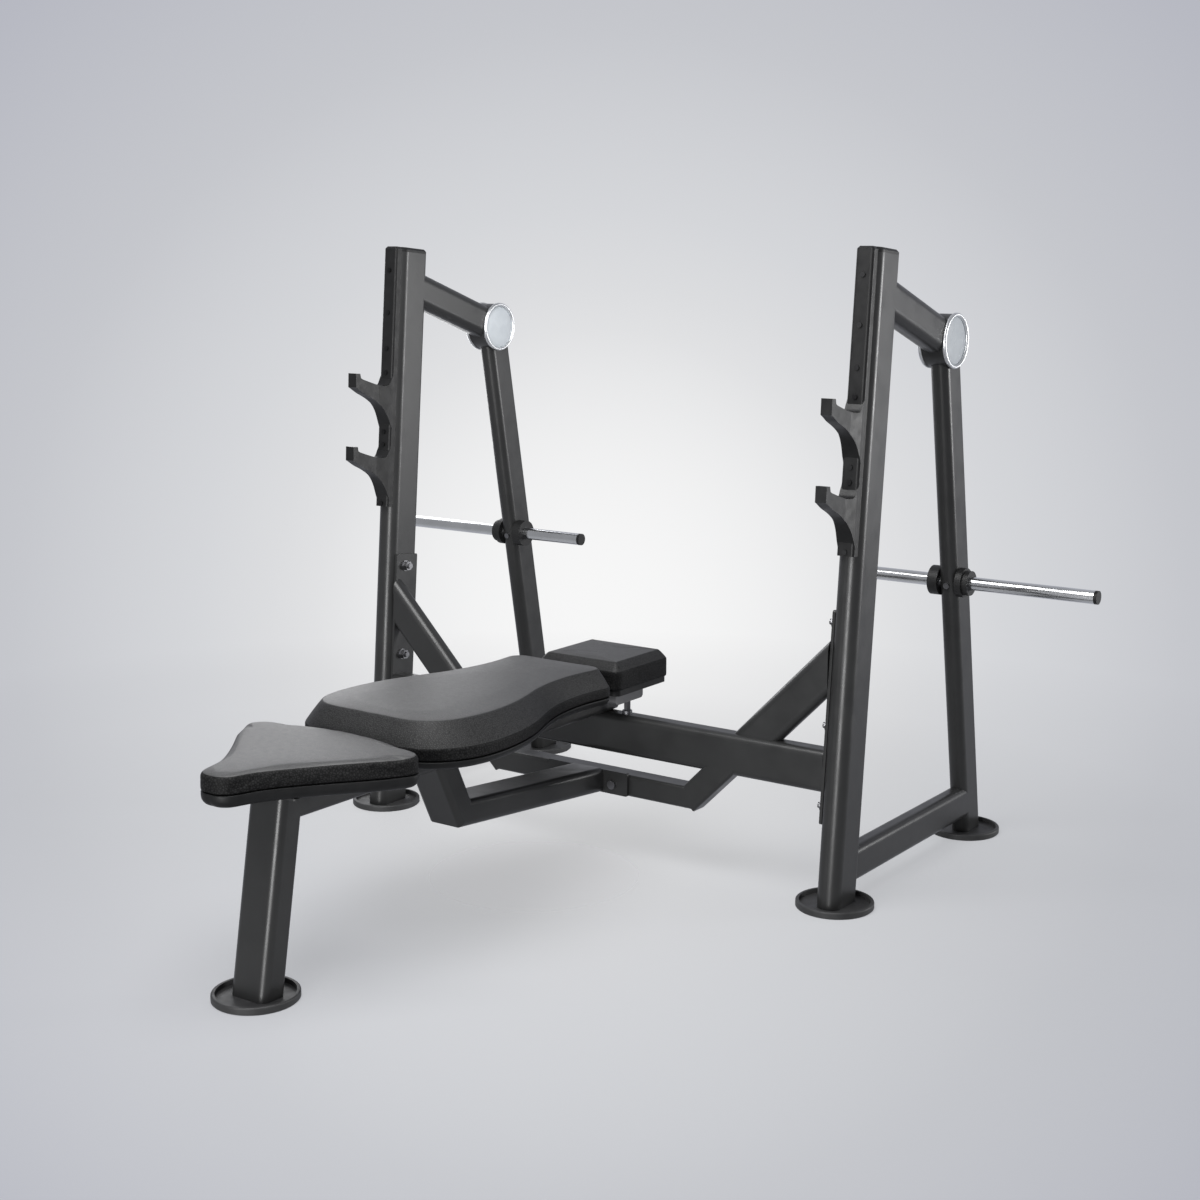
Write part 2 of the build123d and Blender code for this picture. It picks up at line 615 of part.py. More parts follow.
drop_axis = Vector(0, DROP_SLOPE, 1).normalized()
lower_axis = Vector(0, 1, LOWER_SLOPE).normalized()
corner_plane = Plane(origin=(0, DROP_Y, DROP_Z), x_dir=(1, 0, 0), z_dir=drop_axis - lower_axis)
with BuildPart() as drop_tube:
    with BuildSketch(cross_section(Vector(0, DROP_Y, DROP_Z) - drop_axis * 80, drop_axis)):
        RectangleRounded(BENCH_WIDE, DROP_DEEP, 12)
        RectangleRounded(BENCH_WIDE - 2 * WALL, DROP_DEEP - 2 * WALL, 12 - WALL, mode=Mode.SUBTRACT)
    extrude(amount=300)
    split(bisect_by=corner_plane, keep=Keep.TOP)
    split(bisect_by=Plane.XY.offset(BEAM_TOP), keep=Keep.BOTTOM)
save(drop_tube, "drop_tube")

with BuildPart() as lower_beam:
    with BuildSketch(cross_section(Vector(0, DROP_Y, DROP_Z) - lower_axis * 80, lower_axis)):
        RectangleRounded(BENCH_WIDE, LOWER_BEAM_HIGH, 12)
        RectangleRounded(BENCH_WIDE - 2 * WALL, LOWER_BEAM_HIGH - 2 * WALL, 12 - WALL, mode=Mode.SUBTRACT)
    extrude(amount=700)
    split(bisect_by=corner_plane, keep=Keep.BOTTOM)
    split(bisect_by=Plane.XZ.offset(-(plate_back - BENCH_PLATE)), keep=Keep.TOP)
save(lower_beam, "lower_beam")

# Pads: a board in the outline of each pad, and a cushion on it
with BuildPart() as seat_shell:
    add(pad_slab(SEAT_OUTLINE, PAD_BASE, SEAT_WALL))
save(seat_shell, "seat_shell")

with BuildPart() as seat_cushion:
    add(pad_slab(SEAT_OUTLINE, SEAT_WALL, SEAT_TOP))
save(seat_cushion, "seat_cushion")

with BuildPart() as back_shell:
    add(pad_slab(BACK_OUTLINE, PAD_BASE, BACK_WALL))
save(back_shell, "back_shell")

with BuildPart() as back_cushion:
    add(pad_slab(BACK_OUTLINE, BACK_WALL, BACK_BEVEL))
    with BuildSketch(Plane.XY.offset(BACK_BEVEL)):
        add(pad_outline(BACK_OUTLINE))
    with BuildSketch(Plane.XY.offset(BACK_TOP)):
        add(pad_outline(BACK_TOP_OUTLINE))
    loft()
save(back_cushion, "back_cushion")

head_middle = (HEAD_FRONT + HEAD_REAR) / 2
with BuildPart() as head_board:
    with BuildSketch(Plane.XY.offset(HEAD_BASE)):
        with Locations((0, head_middle)):
            RectangleRounded(2 * HEAD_HALF - 8, HEAD_REAR - HEAD_FRONT - 8, 14)
    extrude(amount=HEAD_WALL - HEAD_BASE)
save(head_board, "head_board")

with BuildPart() as head_cushion:
    with BuildSketch(Plane.XY.offset(HEAD_WALL)):
        with Locations((0, head_middle)):
            RectangleRounded(2 * HEAD_HALF, HEAD_REAR - HEAD_FRONT, 18)
    extrude(amount=HEAD_TOP - HEAD_WALL)
    chamfer(head_cushion.faces().sort_by(Axis.Z)[-1].edges(), HEAD_TOP - HEAD_BEVEL)
save(head_cushion, "head_cushion")

# Two shallow bars under the head pad, on studs that stand on the cross beam
with BuildPart() as head_bars:
    for side, tag in SIDES:
        with BuildSketch(Plane.XZ.offset(-HEAD_BAR_START)):
            with Locations((side * 77, HEAD_BASE - 10)):
                Rectangle(34, 20)
        extrude(amount=-(HEAD_BAR_END - HEAD_BAR_START))
    fillet(head_bars.edges().filter_by(Axis.X).group_by(Axis.Z)[0], 8)
save(head_bars, "head_bars")

with BuildPart() as head_studs:
    for side, tag in SIDES:
        with BuildSketch(Plane.XY.offset(BEAM_TOP)):
            with Locations((side * 80, BEAM_Y)):
                Circle(10.5)
        extrude(amount=7)
        with BuildSketch(Plane.XY.offset(BEAM_TOP + 7)):
            with Locations((side * 80, BEAM_Y)):
                RegularPolygon(7.5, 6)
        extrude(amount=HEAD_BASE - 20 - BEAM_TOP - 7)
save(head_studs, "head_studs")

# Flat plates on the upper beam, and the screws that hold the pads to them
with BuildPart() as pad_plates:
    with BuildSketch(Plane.XY.offset(UPPER_TOP)):
        with Locations(*[(0, y) for y in PAD_PLATES]):
            RectangleRounded(160, 70, 8)
    extrude(amount=MOUNT_PLATE)
    with BuildSketch(Plane.XY.offset(UPPER_TOP)):
        with Locations(*PAD_SCREWS):
            Circle(3)
    extrude(amount=MOUNT_PLATE, mode=Mode.SUBTRACT)
save(pad_plates, "pad_plates")

with BuildPart() as pad_screws:
    with BuildSketch(Plane.XY.offset(UPPER_TOP)):
        with Locations(*PAD_SCREWS):
            Circle(5.5)
    extrude(amount=-3.5)
    with BuildSketch(Plane.XY.offset(UPPER_TOP)):
        with Locations(*PAD_SCREWS):
            Circle(3)
    extrude(amount=MOUNT_PLATE)
save(pad_screws, "pad_screws")
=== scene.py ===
"""Looks of a flat barbell bench with a braced rack: camera, studio, finishes and upholstered pads."""

import json
import math

import bpy
import numpy as np
from mathutils import Euler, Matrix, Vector


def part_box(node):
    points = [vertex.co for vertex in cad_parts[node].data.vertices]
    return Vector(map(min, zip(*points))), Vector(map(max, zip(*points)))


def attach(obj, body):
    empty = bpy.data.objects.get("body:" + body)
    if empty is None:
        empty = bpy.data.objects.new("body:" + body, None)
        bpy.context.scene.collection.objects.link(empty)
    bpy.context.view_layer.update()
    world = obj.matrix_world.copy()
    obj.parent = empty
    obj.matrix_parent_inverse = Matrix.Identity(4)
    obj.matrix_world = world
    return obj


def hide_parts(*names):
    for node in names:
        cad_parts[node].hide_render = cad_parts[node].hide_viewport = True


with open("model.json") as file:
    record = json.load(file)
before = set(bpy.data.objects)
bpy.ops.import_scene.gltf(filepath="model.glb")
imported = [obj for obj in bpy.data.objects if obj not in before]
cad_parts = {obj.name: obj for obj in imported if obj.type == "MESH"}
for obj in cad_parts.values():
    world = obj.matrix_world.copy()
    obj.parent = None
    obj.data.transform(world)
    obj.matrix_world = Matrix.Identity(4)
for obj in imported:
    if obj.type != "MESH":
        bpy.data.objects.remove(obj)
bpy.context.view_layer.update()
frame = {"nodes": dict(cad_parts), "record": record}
nodes = frame["nodes"]
scene = bpy.context.scene
scene.view_settings.view_transform = "Standard"

FLOOR_HALF = 4.5         # metres from the middle of the floor to its edge
SEAT_LIP = 0.006         # the seat tray stands this far up round the foot of its cover
SEAT_ROUND = 0.009       # radius of the seat's top edge
TUCK = 0.006             # a cover's underside starts this far in from its wall
RIM_POINTS = 140         # points along half of a pad outline
UNDER_RINGS = 10
TOP_RINGS = 26
SIM_FRAMES = 20
AIR_PRESSURE = 4


# Camera and studio

def make_camera():
    data = bpy.data.cameras.new("camera")
    data.lens = 55.07
    data.sensor_width = 36
    data.clip_end = 200
    cam = bpy.data.objects.new("camera", data)
    cam.location = (2.2183, -2.8457, 1.2646)
    cam.rotation_euler = Euler((math.radians(79.19), 0, math.radians(35.79)))
    scene.collection.objects.link(cam)
    scene.camera = cam


def area_light(name, place, aim, size, power):
    data = bpy.data.lights.new(name, "AREA")
    data.shape = "RECTANGLE"
    data.size, data.size_y = size
    data.energy = power
    light = bpy.data.objects.new(name, data)
    light.location = place
    light.visible_camera = False
    light.rotation_euler = (Vector(aim) - Vector(place)).to_track_quat("-Z", "Y").to_euler()
    scene.collection.objects.link(light)


def ramp(tree, value, stops):
    """Colour ramp node fed by a socket."""
    node = tree.nodes.new("ShaderNodeValToRGB")
    points = node.color_ramp.elements
    while len(points) < len(stops):
        points.new(0.5)
    for point, (place, colour) in zip(points, stops):
        point.position = place
        point.color = (*colour, 1)
    tree.links.new(value, node.inputs["Fac"])
    return node.outputs["Color"]


def make_world():
    """Pale surroundings, brightest behind the object and falling off all round."""
    world = bpy.data.worlds.new("studio")
    scene.world = world
    world.use_nodes = True
    tree = world.node_tree
    background = tree.nodes["Background"]
    coords = tree.nodes.new("ShaderNodeTexCoord")
    dot = tree.nodes.new("ShaderNodeVectorMath")
    dot.operation = "DOT_PRODUCT"
    tree.links.new(coords.outputs["Generated"], dot.inputs[0])
    brightest = Vector((-0.5744, 0.7968, -0.195))
    dot.inputs[1].default_value = brightest.normalized()
    stops = (
        (0.0, (0.30, 0.305, 0.32)),
        (0.9077, (0.474, 0.485, 0.54)),
        (0.952, (0.56, 0.57, 0.605)),
        (0.977, (0.665, 0.675, 0.70)),
        (0.9869, (0.73, 0.735, 0.75)),
        (1.0, (0.93, 0.93, 0.93)),
    )
    tree.links.new(ramp(tree, dot.outputs["Value"], stops), background.inputs["Color"])


def make_floor():
    """Pale floor under the object. It fades into the surroundings, so there is no horizon."""
    corners = [(x * FLOOR_HALF, y * FLOOR_HALF, 0) for x, y in ((-1, -1), (1, -1), (1, 1), (-1, 1))]
    mesh = bpy.data.meshes.new("floor")
    mesh.from_pydata(corners, [], [(0, 1, 2, 3)])
    floor = bpy.data.objects.new("floor", mesh)
    scene.collection.objects.link(floor)
    mat = bpy.data.materials.new("floor")
    mat.use_nodes = True
    tree = mat.node_tree
    bsdf = tree.nodes["Principled BSDF"]
    coords = tree.nodes.new("ShaderNodeTexCoord")
    length = tree.nodes.new("ShaderNodeVectorMath")
    length.operation = "LENGTH"
    tree.links.new(coords.outputs["Object"], length.inputs[0])
    scaled = tree.nodes.new("ShaderNodeMath")
    scaled.operation = "DIVIDE"
    tree.links.new(length.outputs["Value"], scaled.inputs[0])
    scaled.inputs[1].default_value = FLOOR_HALF
    fade = ((0.0, 0.42), (0.20, 0.34), (0.36, 0.12), (0.55, 0))
    stops = [(place, (alpha, alpha, alpha)) for place, alpha in fade]
    tree.links.new(ramp(tree, scaled.outputs["Value"], stops), bsdf.inputs["Alpha"])
    bsdf.inputs["Base Color"].default_value = (0.48, 0.485, 0.50, 1)
    bsdf.inputs["Roughness"].default_value = 0.8
    bsdf.inputs["Specular IOR Level"].default_value = 0.1
    mesh.materials.append(mat)


# Finishes

def new_finish(name, colour, roughness, metallic=0.0, specular=0.5):
    mat = bpy.data.materials.new(name)
    mat.use_nodes = True
    bsdf = mat.node_tree.nodes["Principled BSDF"]
    bsdf.inputs["Base Color"].default_value = (*colour, 1)
    bsdf.inputs["Roughness"].default_value = roughness
    bsdf.inputs["Metallic"].default_value = metallic
    bsdf.inputs["Specular IOR Level"].default_value = specular
    return mat


def pattern(tree, kind, scale, stretch=(1, 1, 1)):
    """Texture node of a kind, laid out in the object's own coordinates."""
    coords = tree.nodes.new("ShaderNodeTexCoord")
    mapping = tree.nodes.new("ShaderNodeMapping")
    mapping.inputs["Scale"].default_value = stretch
    tree.links.new(coords.outputs["Object"], mapping.inputs["Vector"])
    node = tree.nodes.new(kind)
    node.inputs["Scale"].default_value = scale
    tree.links.new(mapping.outputs["Vector"], node.inputs["Vector"])
    return node


def noise(tree, scale, detail, stretch=(1, 1, 1)):
    node = pattern(tree, "ShaderNodeTexNoise", scale, stretch)
    node.inputs["Detail"].default_value = detail
    return node.outputs["Fac"]


def cells(tree, scale):
    """Distance from the edges between irregular cells."""
    node = pattern(tree, "ShaderNodeTexVoronoi", scale)
    node.feature = "DISTANCE_TO_EDGE"
    return node.outputs["Distance"]


def vary_colour(mat, value, low, high, start=0.3, end=0.7):
    tree = mat.node_tree
    bsdf = tree.nodes["Principled BSDF"]
    tree.links.new(ramp(tree, value, ((start, low), (end, high))), bsdf.inputs["Base Color"])


def vary_roughness(mat, value, low, high):
    tree = mat.node_tree
    bsdf = tree.nodes["Principled BSDF"]
    span = tree.nodes.new("ShaderNodeMapRange")
    span.inputs["From Min"].default_value = 0.3
    span.inputs["From Max"].default_value = 0.7
    span.inputs["To Min"].default_value = low
    span.inputs["To Max"].default_value = high
    tree.links.new(value, span.inputs["Value"])
    tree.links.new(span.outputs["Result"], bsdf.inputs["Roughness"])


def add_bump(mat, value, strength, distance):
    tree = mat.node_tree
    bsdf = tree.nodes["Principled BSDF"]
    bump = tree.nodes.new("ShaderNodeBump")
    bump.inputs["Strength"].default_value = strength
    bump.inputs["Distance"].default_value = distance
    tree.links.new(value, bump.inputs["Height"])
    if bsdf.inputs["Normal"].is_linked:
        tree.links.new(bsdf.inputs["Normal"].links[0].from_socket, bump.inputs["Normal"])
    tree.links.new(bump.outputs["Normal"], bsdf.inputs["Normal"])


def powder_coat(name, low, high, roughness):
    """Satin powder coat: faint orange peel, and a little unevenness in tone and gloss."""
    mat = new_finish(name, high, roughness)
    tree = mat.node_tree
    vary_colour(mat, noise(tree, 9, 4), low, high)
    vary_roughness(mat, noise(tree, 30, 3), roughness - 0.04, roughness + 0.05)
    add_bump(mat, noise(tree, 420, 1), 0.05, 0.0005)
    add_bump(mat, noise(tree, 1600, 1), 0.04, 0.0003)
    return mat


def moulded(name, low, high, roughness, grain=700, specular=0.5):
    """Moulded plastic or rubber with a fine spark-eroded texture."""
    mat = new_finish(name, high, roughness, specular=specular)
    tree = mat.node_tree
    vary_colour(mat, noise(tree, 40, 4), low, high)
    vary_roughness(mat, noise(tree, 60, 3), roughness - 0.05, roughness + 0.06)
    add_bump(mat, noise(tree, grain, 2), 0.25, 0.0004)
    return mat


def metal(name, low, high, roughness, stretch=(1, 1, 1)):
    """Bare or plated metal with fine polishing lines."""
    mat = new_finish(name, high, roughness, 1.0)
    tree = mat.node_tree
    vary_colour(mat, noise(tree, 18, 3), low, high)
    lines = noise(tree, 300, 2, stretch)
    vary_roughness(mat, lines, roughness - 0.03, roughness + 0.05)
    add_bump(mat, lines, 0.05, 0.0003)
    return mat


def leather(name, low, high, roughness, grain, depth, specular):
    """Upholstery vinyl: pebbled grain with painted shade in the valleys between the pebbles, over soft
    unevenness.
    """
    mat = new_finish(name, high, roughness, specular=specular)
    tree = mat.node_tree
    # painted shade: the colour darkens towards the cell edges, the valleys between the pebbles
    vary_colour(mat, cells(tree, grain), low, high, 0.02, 0.22)
    vary_roughness(mat, noise(tree, 90, 4), roughness - 0.02, roughness + 0.03)
    add_bump(mat, cells(tree, grain), depth, 0.0009)
    add_bump(mat, noise(tree, grain * 2.2, 3), depth * 0.6, 0.0005)
    return mat


FINISHES = {
    "frame_paint": powder_coat("frame_paint", (0.019, 0.0192, 0.0192), (0.025, 0.0252, 0.0252), 0.33),
    "grey_paint": powder_coat("grey_paint", (0.10, 0.10, 0.104), (0.12, 0.12, 0.124), 0.38),
    "black_plastic": moulded(
        "black_plastic", (0.007, 0.007, 0.0072), (0.011, 0.011, 0.0112), 0.42, 700, 0.32),
    "foot_rubber": moulded("foot_rubber", (0.022, 0.022, 0.0225), (0.034, 0.034, 0.0345), 0.52, 900),
    "collar_rubber": moulded(
        "collar_rubber", (0.010, 0.010, 0.0102), (0.017, 0.017, 0.0172), 0.47, 900, 0.35),
    "bright_steel": metal("bright_steel", (0.74, 0.75, 0.76), (0.84, 0.85, 0.86), 0.16, (0.05, 1, 1)),
    "ring_aluminium": metal("ring_aluminium", (0.78, 0.79, 0.80), (0.88, 0.89, 0.90), 0.36),
    "pale_plastic": moulded("pale_plastic", (0.58, 0.62, 0.65), (0.64, 0.68, 0.71), 0.42, 500, 0.3),
    "zinc_fastener": metal("zinc_fastener", (0.20, 0.20, 0.21), (0.30, 0.30, 0.31), 0.34),
    "black_oxide": metal("black_oxide", (0.030, 0.030, 0.031), (0.048, 0.048, 0.049), 0.42),
    # One upholstery vinyl in three lit and shaded copies: the top panel is painted lighter as if lit from
    # above, the bevel is painted darker and the wall darker still, as painted shade. The grain also differs
    # from panel to panel.
    "pad_top_painted_light": leather("pad_top_painted_light", (0.040, 0.040, 0.0405), (0.066, 0.066, 0.0665), 0.48, 420, 0.30, 0.38),
    "pad_bevel_painted_shade": leather("pad_bevel_painted_shade", (0.008, 0.008, 0.0082), (0.030, 0.030, 0.0302), 0.55, 300, 0.60, 0.30),
    "pad_side_painted_shade": leather("pad_side_painted_shade", (0.001, 0.001, 0.0011), (0.015, 0.015, 0.0152), 0.60, 230, 0.90, 0.16),
    "pad_shell": moulded("pad_shell", (0.007, 0.0072, 0.0075), (0.011, 0.0112, 0.0115), 0.48, 600, 0.25),
}
SLOT_OF = {part["node"]: part["material_slot"] for part in frame["record"]["subparts"]}


def paint_cad_nodes():
    """Gives each CAD node the finish of its slot, except the catch screws, which get black oxide. The slot
    of the pad solids, pad_cover, has no finish of its own: the covers that replace them carry the three pad
    finishes."""
    for name, obj in nodes.items():
        obj.data.materials.clear()
        finish = "black_oxide" if name.endswith("catch_screws") else SLOT_OF[name]
        # Slots without a finish of their own fall back on the wall vinyl, which is darkened as painted
        # shade.
        obj.data.materials.append(FINISHES.get(finish, FINISHES["pad_side_painted_shade"]))


# Meshes

def add_mesh(name, points, faces, finishes):
    """Smooth-shaded object from points and faces, with its materials."""
    mesh = bpy.data.meshes.new(name)
    mesh.from_pydata(points, [], faces)
    for finish in finishes:
        mesh.materials.append(FINISHES[finish])
    mesh.polygons.foreach_set("use_smooth", [True] * len(faces))
    obj = bpy.data.objects.new(name, mesh)
    scene.collection.objects.link(obj)
    return obj


def stand_in(obj, node):
    """Fixes a piece to the bench in place of a CAD node."""
    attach(obj, "root")
    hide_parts(node)


# Hub trim

def lathe(points, faces, profile, middle, face, steps=96):
    """Adds a turned surface about an axis along X; the profile is (radius, distance out) pairs."""
    start = len(points)
    for radius, out in profile:
        for k in range(steps):
            a = 2 * math.pi * k / steps
            across = radius * math.cos(a)
            up = radius * math.sin(a)
            points.append((middle.x + face * out, middle.y + across, middle.z + up))
    for r in range(len(profile) - 1):
        near = start + r * steps
        far = near + steps
        for k in range(steps):
            n = (k + 1) % steps
            quad = (near + k, near + n, far + n, far + k)
            faces.append(quad if face > 0 else quad[::-1])


def make_hub_trim(side):
    """Rounded bright ring and shallow pale disc on each face of a hub."""
    low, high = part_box(f"{side}_hub_rings")
    centre = (low + high) / 2
    outer = (high.z - low.z) / 2 - 0.0012
    inner = outer - 0.0078
    depth = 0.0065
    dome = 0.0045            # height of the ring's rounded front
    middle = (outer + inner) / 2
    half = (outer - inner) / 2
    ring = [(inner, -0.002), (inner, depth - dome)]
    ring += [(middle - half * math.cos(a), depth - dome + dome * math.sin(a))
             for a in np.radians(np.linspace(12, 168, 12))]
    ring += [(outer, depth - dome), (outer, 0.0), (inner, -0.002)]
    pip = 0.0004             # radius left open at the axis, and the disc's overlap under the ring
    disc = [
        (pip, 0.0036),
        (inner * 0.55, 0.0033),
        (inner * 0.86, 0.0026),
        (inner * 0.95, 0.0016),
        (inner + pip, 0.0008),
        (inner + pip, -0.003),
        (pip, -0.003),
        (pip, 0.0036),
    ]
    for part, profile, finish in (("rings", ring, "ring_aluminium"), ("discs", disc, "pale_plastic")):
        points, faces = [], []
        for face, edge in ((1, high.x), (-1, low.x)):
            lathe(points, faces, profile, Vector((edge - face * depth, centre.y, centre.z)), face)
        obj = add_mesh(f"{side}_hub_{part}_turned", points, faces, [finish])
        stand_in(obj, f"{side}_hub_{part}")


# Pads

def half_rim(node, height):
    """Right half of a pad's outline at a height, read from its CAD solid, front to rear."""
    found = {(round(abs(v.co.x), 5), round(v.co.y, 5))
             for v in nodes[node].data.vertices if abs(v.co.z - height) < 1e-4 and v.co.x >= -1e-5}
    widest = max(p[0] for p in found)
    centre = np.mean([p[1] for p in found if p[0] > 0.995 * widest])
    found = sorted(found, key=lambda p: -math.atan2(p[0], p[1] - centre))
    points = np.array(found)
    if points[0][0] > 1e-4:
        points = np.vstack([[0, points[0][1]], points])
    if points[-1][0] > 1e-4:
        points = np.vstack([points, [0, points[-1][1]]])
    return points


def even_points(points, count):
    steps = np.linalg.norm(np.diff(points, axis=0), axis=1)
    along = np.concatenate([[0], np.cumsum(steps)])
    places = np.linspace(0, along[-1], count)
    return np.column_stack([np.interp(places, along, points[:, k]) for k in (0, 1)])


def full_rim(half):
    """Closed outline from its right half, with the left half mirrored."""
    left = half[-2:0:-1] * np.array([-1, 1])
    return np.vstack([half, left])


def inward(rim):
    """Unit vectors that point into a closed outline."""
    tangent = np.roll(rim, -1, axis=0) - np.roll(rim, 1, axis=0)
    for _ in range(2):
        tangent = (np.roll(tangent, 1, axis=0) + 2 * tangent + np.roll(tangent, -1, axis=0)) / 4
    normal = np.column_stack([-tangent[:, 1], tangent[:, 0]])
    return normal / np.linalg.norm(normal, axis=1)[:, None]


def nearest_on(rim, top):
    """For each point of an outline, the nearest point of a finer, smaller outline."""
    dense = even_points(np.vstack([top, top[:1]]), 4000)
    picked = np.array([dense[np.argmin(((dense - p) ** 2).sum(1))] for p in rim])
    for _ in range(3):
        picked = (np.roll(picked, 1, axis=0) + 2 * picked + np.roll(picked, -1, axis=0)) / 4
    return picked


def spine_of(rim):
    """Points on the centre line that an outline closes in on."""
    low, high = rim[:, 1].min(), rim[:, 1].max()
    margin = min(0.35 * (high - low), 0.45 * np.ptp(rim[:, 0]))
    return np.column_stack([np.zeros(len(rim)), np.clip(rim[:, 1], low + margin, high - margin)])


def lay(rim, height):
    return np.column_stack([rim, np.full(len(rim), height)])


def closing_rings(rim, height, rise, count):
    """Rings from an outline in to the centre line, rising towards it as a shallow crown."""
    spine = spine_of(rim)
    rings = []
    for share in np.linspace(1, 0, count + 1)[1:]:
        share = max(share, 0.012)
        flat = spine + (rim - spine) * share
        rings.append(lay(flat, height + rise * (1 - share ** 2.4)))
    return rings


def ring_mesh(name, rings, finishes, finish_of_band):
    """Closed skin through rings of points, from the centre of the underside to the centre of the top."""
    size = len(rings[0])
    points = np.vstack(rings)
    faces, bands = [], []
    for r in range(len(rings) - 1):
        for i in range(size):
            j = (i + 1) % size
            faces.append((r * size + i, r * size + j, (r + 1) * size + j, (r + 1) * size + i))
            bands.append(finish_of_band(r))
    half = size // 2
    for r, flip in ((0, True), (len(rings) - 1, False)):
        for i in range(half):
            ring = [i, i + 1, (size - i - 1) % size, (size - i) % size]
            ring = [r * size + k for k in dict.fromkeys(ring)]
            faces.append(tuple(reversed(ring)) if flip else tuple(ring))
            bands.append(finish_of_band(max(r - 1, 0)))
    obj = add_mesh(name, points.tolist(), faces, finishes)
    obj.data.polygons.foreach_set("material_index", bands)
    obj.data.update()
    return obj


def inflate(obj, held, cap):
    """Cloth simulation with air inside: the cover swells by at most cap, and held points stay."""
    rest = np.array([v.co for v in obj.data.vertices])
    group = obj.vertex_groups.new(name="held")
    group.add(held, 1.0, "REPLACE")
    cloth = obj.modifiers.new("cloth", "CLOTH")
    settings = cloth.settings
    settings.quality = 5
    settings.mass = 0.4
    settings.tension_stiffness = 25
    settings.compression_stiffness = 25
    settings.shear_stiffness = 10
    settings.bending_stiffness = 3
    settings.use_pressure = True
    settings.uniform_pressure_force = AIR_PRESSURE
    settings.vertex_group_mass = "held"
    settings.effector_weights.gravity = 0
    cloth.point_cache.frame_start = 1
    cloth.point_cache.frame_end = SIM_FRAMES
    for step in range(1, SIM_FRAMES + 1):
        scene.frame_set(step)
    graph = bpy.context.evaluated_depsgraph_get()
    swollen = obj.evaluated_get(graph).to_mesh()
    places = np.empty(len(swollen.vertices) * 3)
    swollen.vertices.foreach_get("co", places)
    obj.modifiers.remove(cloth)
    scene.frame_set(1)
    moved = places.reshape(-1, 3) - rest
    length = np.linalg.norm(moved, axis=1)
    share = np.minimum(1, cap / np.maximum(length, 1e-9))
    obj.data.vertices.foreach_set("co", (rest + moved * share[:, None]).ravel())
    obj.data.update()
    obj.vertex_groups.clear()


def tilt(obj, front, rear):
    """Raises a pad's top by front at its front end and rear at its rear end, in proportion to height."""
    points = np.array([v.co for v in obj.data.vertices])
    low, high = points[:, 2].min(), points[:, 2].max()
    share = (points[:, 1] - points[:, 1].min()) / np.ptp(points[:, 1])
    points[:, 2] += (front + (rear - front) * share) * (points[:, 2] - low) / (high - low)
    obj.data.vertices.foreach_set("co", points.ravel())
    obj.data.update()


def wall_rings(rim, steps):
    """Rings at (height, inset) pairs."""
    normal = inward(rim)
    return [lay(rim + normal * inset, height) for height, inset in steps]


def arc(height, radius, end, count):
    """(height, inset) pairs round a top edge, from the wall to an angle of up to 90, on the top."""
    pairs = []
    for angle in np.radians(np.linspace(0, end, count)):
        pairs.append((height + radius * math.sin(angle), radius * (1 - math.cos(angle))))
    return pairs


def finish_pad(obj, node):
    smooth = obj.modifiers.new("smooth", "SUBSURF")
    smooth.levels = 1
    smooth.render_levels = 1
    stand_in(obj, node)


def make_shell(name, node, lip=0.0):
    """Moulded tray under a pad: rounded lower edge, and a narrow step where the cover begins."""
    low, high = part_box(node)
    top = high.z + lip
    rim = full_rim(even_points(half_rim(node, low.z), RIM_POINTS))
    radius = 0.8 * (high.z - low.z)
    under = closing_rings(rim + inward(rim) * radius, low.z, 0, 12)[::-1]
    bend = [(low.z + radius * (1 - math.cos(a)), radius * (1 - math.sin(a)))
            for a in np.radians(np.linspace(0, 90, 8))]
    walls = bend + [(top - 0.0022, 0), (top - 0.0012, 0.0006), (top - 0.001, TUCK)]
    rings = under + wall_rings(rim, walls)
    rings += closing_rings(rim + inward(rim) * TUCK, top - 0.001, 0, UNDER_RINGS)
    obj = ring_mesh(name, rings, ["pad_shell"], lambda r: 0)
    finish_pad(obj, node)


def make_seat():
    """Seat cover: an upright wall in rough vinyl that rolls over into a smoother, slightly crowned top."""
    low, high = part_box("seat_cushion")
    base = low.z + SEAT_LIP
    rim = full_rim(even_points(half_rim("seat_cushion", low.z), RIM_POINTS))
    under = closing_rings(rim + inward(rim) * TUCK, base + 0.0005, 0, UNDER_RINGS)[::-1]
    walls = [(base + 0.0005, 0.0015), (base + 0.002, 0.0002)]
    walls += [(z, 0) for z in np.linspace(base + 0.005, high.z - SEAT_ROUND - 0.003, 7)]
    walls += arc(high.z - SEAT_ROUND, SEAT_ROUND, 84, 7)
    top_rim = rim + inward(rim) * (SEAT_ROUND + 0.001)
    rings = under + wall_rings(rim, walls) + closing_rings(top_rim, high.z, 0.002, TOP_RINGS)
    first_top = len(under) + len(walls) - 3
    # The wall bands take the vinyl darkened as painted shade, and the top bands take the vinyl lightened as
    # painted light.
    obj = ring_mesh("seat_cushion_cover", rings, ["pad_side_painted_shade", "pad_top_painted_light"], lambda r: int(r >= first_top))
    held = list(range((len(under) + 2) * len(rim)))
    inflate(obj, held, 0.002)
    finish_pad(obj, "seat_cushion")


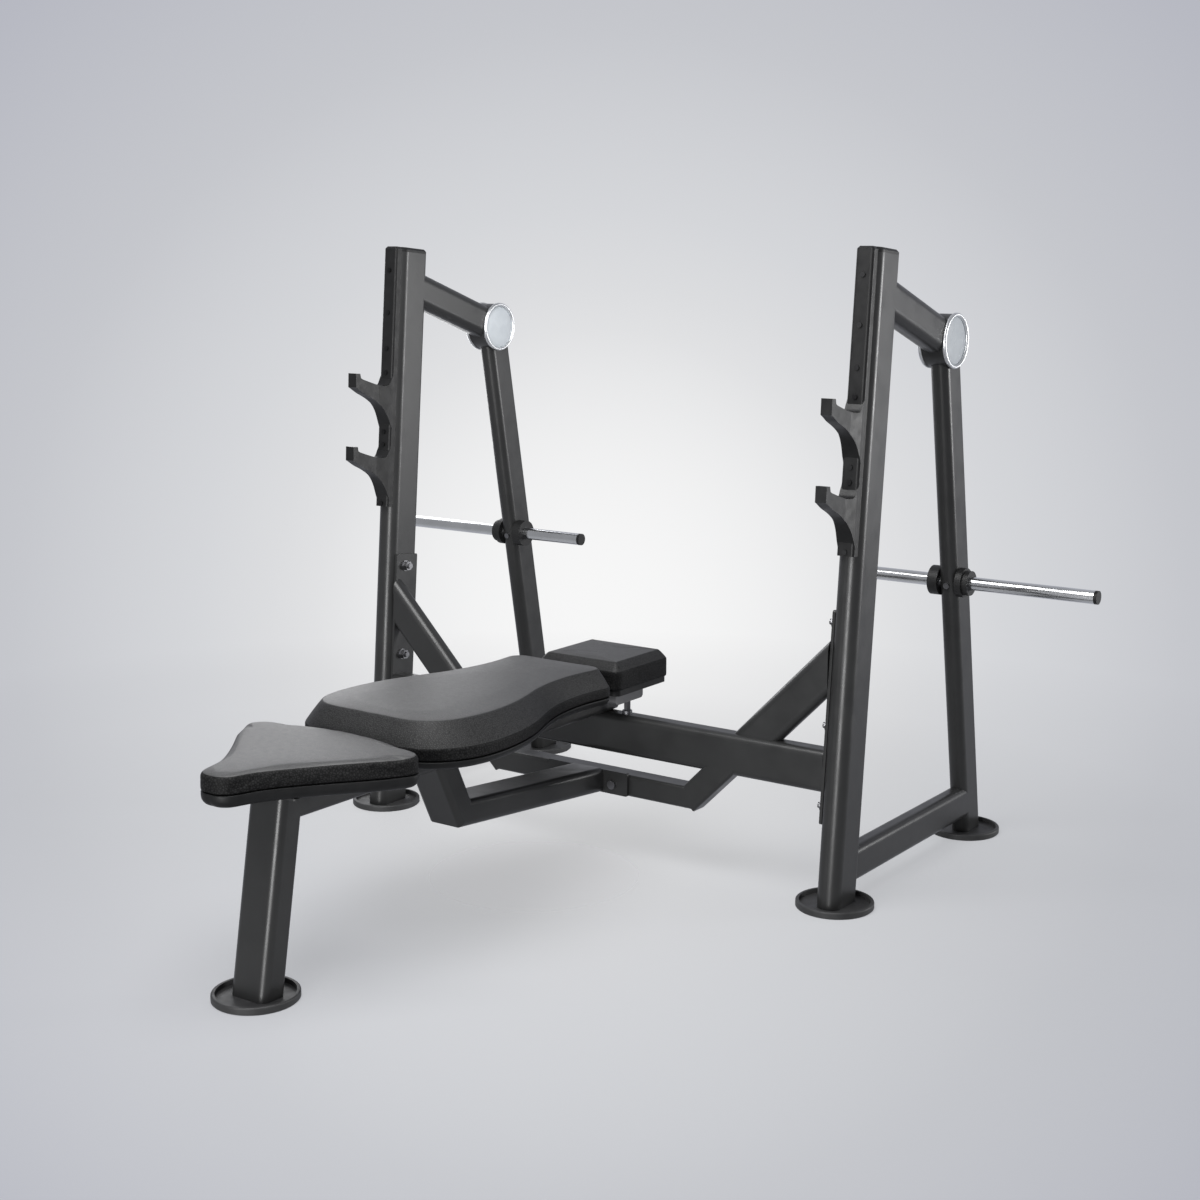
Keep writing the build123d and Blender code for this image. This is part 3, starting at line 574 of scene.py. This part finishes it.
def bevelled_pad(name, node, crown, cap, tilts):
    """Pad with an upright wall, a wide bevel and a flat top, each a separate panel of the cover."""
    low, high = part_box(node)
    heights = {round(v.co.z, 4) for v in nodes[node].data.vertices}
    bevel = min(z for z in heights if z > low.z + 0.02)
    rim = full_rim(even_points(half_rim(node, low.z), RIM_POINTS))
    top = nearest_on(rim, full_rim(even_points(half_rim(node, high.z), RIM_POINTS)))
    under = closing_rings(rim + inward(rim) * TUCK, low.z + 0.0005, 0, UNDER_RINGS)[::-1]
    walls = [(low.z + 0.0005, 0.0015), (low.z + 0.002, 0.0002)]
    walls += [(z, 0) for z in np.linspace(low.z + 0.006, bevel - 0.004, 7)]
    walls += [(bevel - 0.0015, 0.0002), (bevel - 0.0004, 0.0009), (bevel + 0.0006, 0.0016)]
    rings = under + wall_rings(rim, walls)
    start = rim + inward(rim) * 0.0016
    shares = (0.06, 0.2, 0.35, 0.5, 0.65, 0.8, 0.94)
    for share in shares:
        swell = 0.0012 * math.sin(math.pi * share)
        height = bevel + 0.0006 + (high.z - bevel - 0.0006) * share + swell
        rings.append(lay(start + (top - start) * share, height))
    rings.append(lay(top, high.z - 0.0003))
    rings += closing_rings(top + inward(top) * 0.0015, high.z, crown, TOP_RINGS)
    first_bevel = len(under) + len(walls) - 1
    first_top = first_bevel + len(shares) + 1

    def panel(r):
        """Index of a band's finish: wall, then bevel, then top."""
        if r < first_bevel:
            return 0
        return 1 if r >= first_top else 2

    # The wall and bevel bands take the vinyl darkened as painted shade, and the top bands take the vinyl
    # lightened as painted light.
    obj = ring_mesh(name, rings, ["pad_side_painted_shade", "pad_top_painted_light", "pad_bevel_painted_shade"], panel)
    size = len(rim)
    seams = [first_bevel, first_top]
    held = list(range((len(under) + 2) * size))
    held += [r * size + i for r in seams for i in range(size)]
    inflate(obj, held, cap)
    tilt(obj, *tilts)
    finish_pad(obj, node)


make_camera()
make_world()
make_floor()
area_light("rear", (-1.5, 0.9, 1.0), (0, -0.8, 0.45), (0.9, 0.8), 7)
area_light("top", (0.2, -0.9, 2.2), (0, -0.7, 0.4), (1.4, 1.4), 50)
area_light("strip", (0.9, -4.5, 0.5), (0, 0, 0.6), (1.7, 1.8), 115)
area_light("side", (4.2, 3.8, 0.9), (0, 0.2, 0.8), (1.2, 1.5), 100)
paint_cad_nodes()
for side in ("left", "right"):
    make_hub_trim(side)
make_shell("seat_shell_tray", "seat_shell", SEAT_LIP)
make_shell("back_shell_tray", "back_shell")
make_seat()
bevelled_pad("back_cushion_cover", "back_cushion", 0.004, 0.002, (0.005, -0.006))
bevelled_pad("head_cushion_cover", "head_cushion", 0.002, 0.0015, (0, 0))
